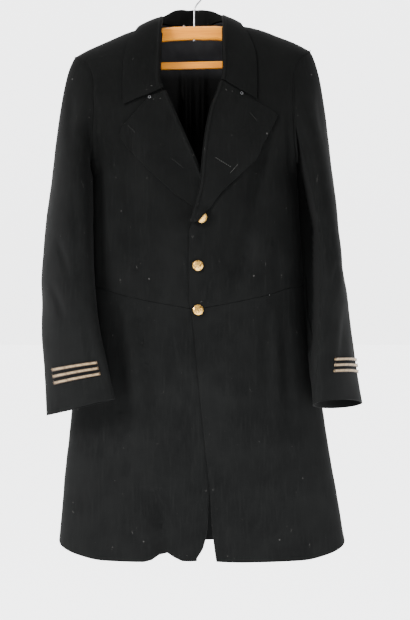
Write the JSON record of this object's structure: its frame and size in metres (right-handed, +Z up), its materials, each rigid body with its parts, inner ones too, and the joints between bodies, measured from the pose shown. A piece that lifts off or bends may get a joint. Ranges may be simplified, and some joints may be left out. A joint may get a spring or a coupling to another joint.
{
  "type": "naval officer coat on a hanger",
  "caption": "Dark wool frock coat with wide lapels, gilt front buttons and braid stripes on the cuffs, hanging on a wooden hanger with a wire hook",
  "frame": {"origin": "inner top of the hanger's hook, where a rail would carry it", "axes": "+Z up; the coat's front faces -Y; +X is the wearer's left"},
  "size_m": [0.5907, 0.208, 1.0671],
  "materials": {
    "wool_cloth": "worn near-black wool with a faint sheen and pale lint",
    "lining_satin": "dark satin",
    "gilt_lace": "tarnished gold braid",
    "loop_tape": "faded woven tape",
    "gilt_brass": "gilt, worn and mottled",
    "steel_wire": "bright wire",
    "beech_wood": "varnished light beech"
  },
  "bodies": {
    "root": {"front_left": "wool_cloth", "front_right": "wool_cloth", "skirt_left": "wool_cloth", "skirt_right": "wool_cloth", "back_left": "wool_cloth", "back_right": "wool_cloth", "sleeve_left_top": "wool_cloth", "sleeve_left_under": "wool_cloth", "sleeve_right_top": "wool_cloth", "sleeve_right_under": "wool_cloth", "collar": "wool_cloth", "lapel_left": "wool_cloth", "lapel_right": "wool_cloth", "back_lining": "lining_satin", "hanging_loop": "loop_tape", "lace_left_1": "gilt_lace", "lace_left_2": "gilt_lace", "lace_left_3": "gilt_lace", "lace_right_1": "gilt_lace", "lace_right_2": "gilt_lace", "lace_right_3": "gilt_lace", "button_top": "gilt_brass", "button_middle": "gilt_brass", "button_bottom": "gilt_brass", "collar_hook": "steel_wire", "collar_eye": "steel_wire", "hanger_hook": "steel_wire", "hanger_nut": "steel_wire", "hanger_shoulders": "beech_wood", "hanger_trouser_bar": "beech_wood"}
  },
  "joints": []
}
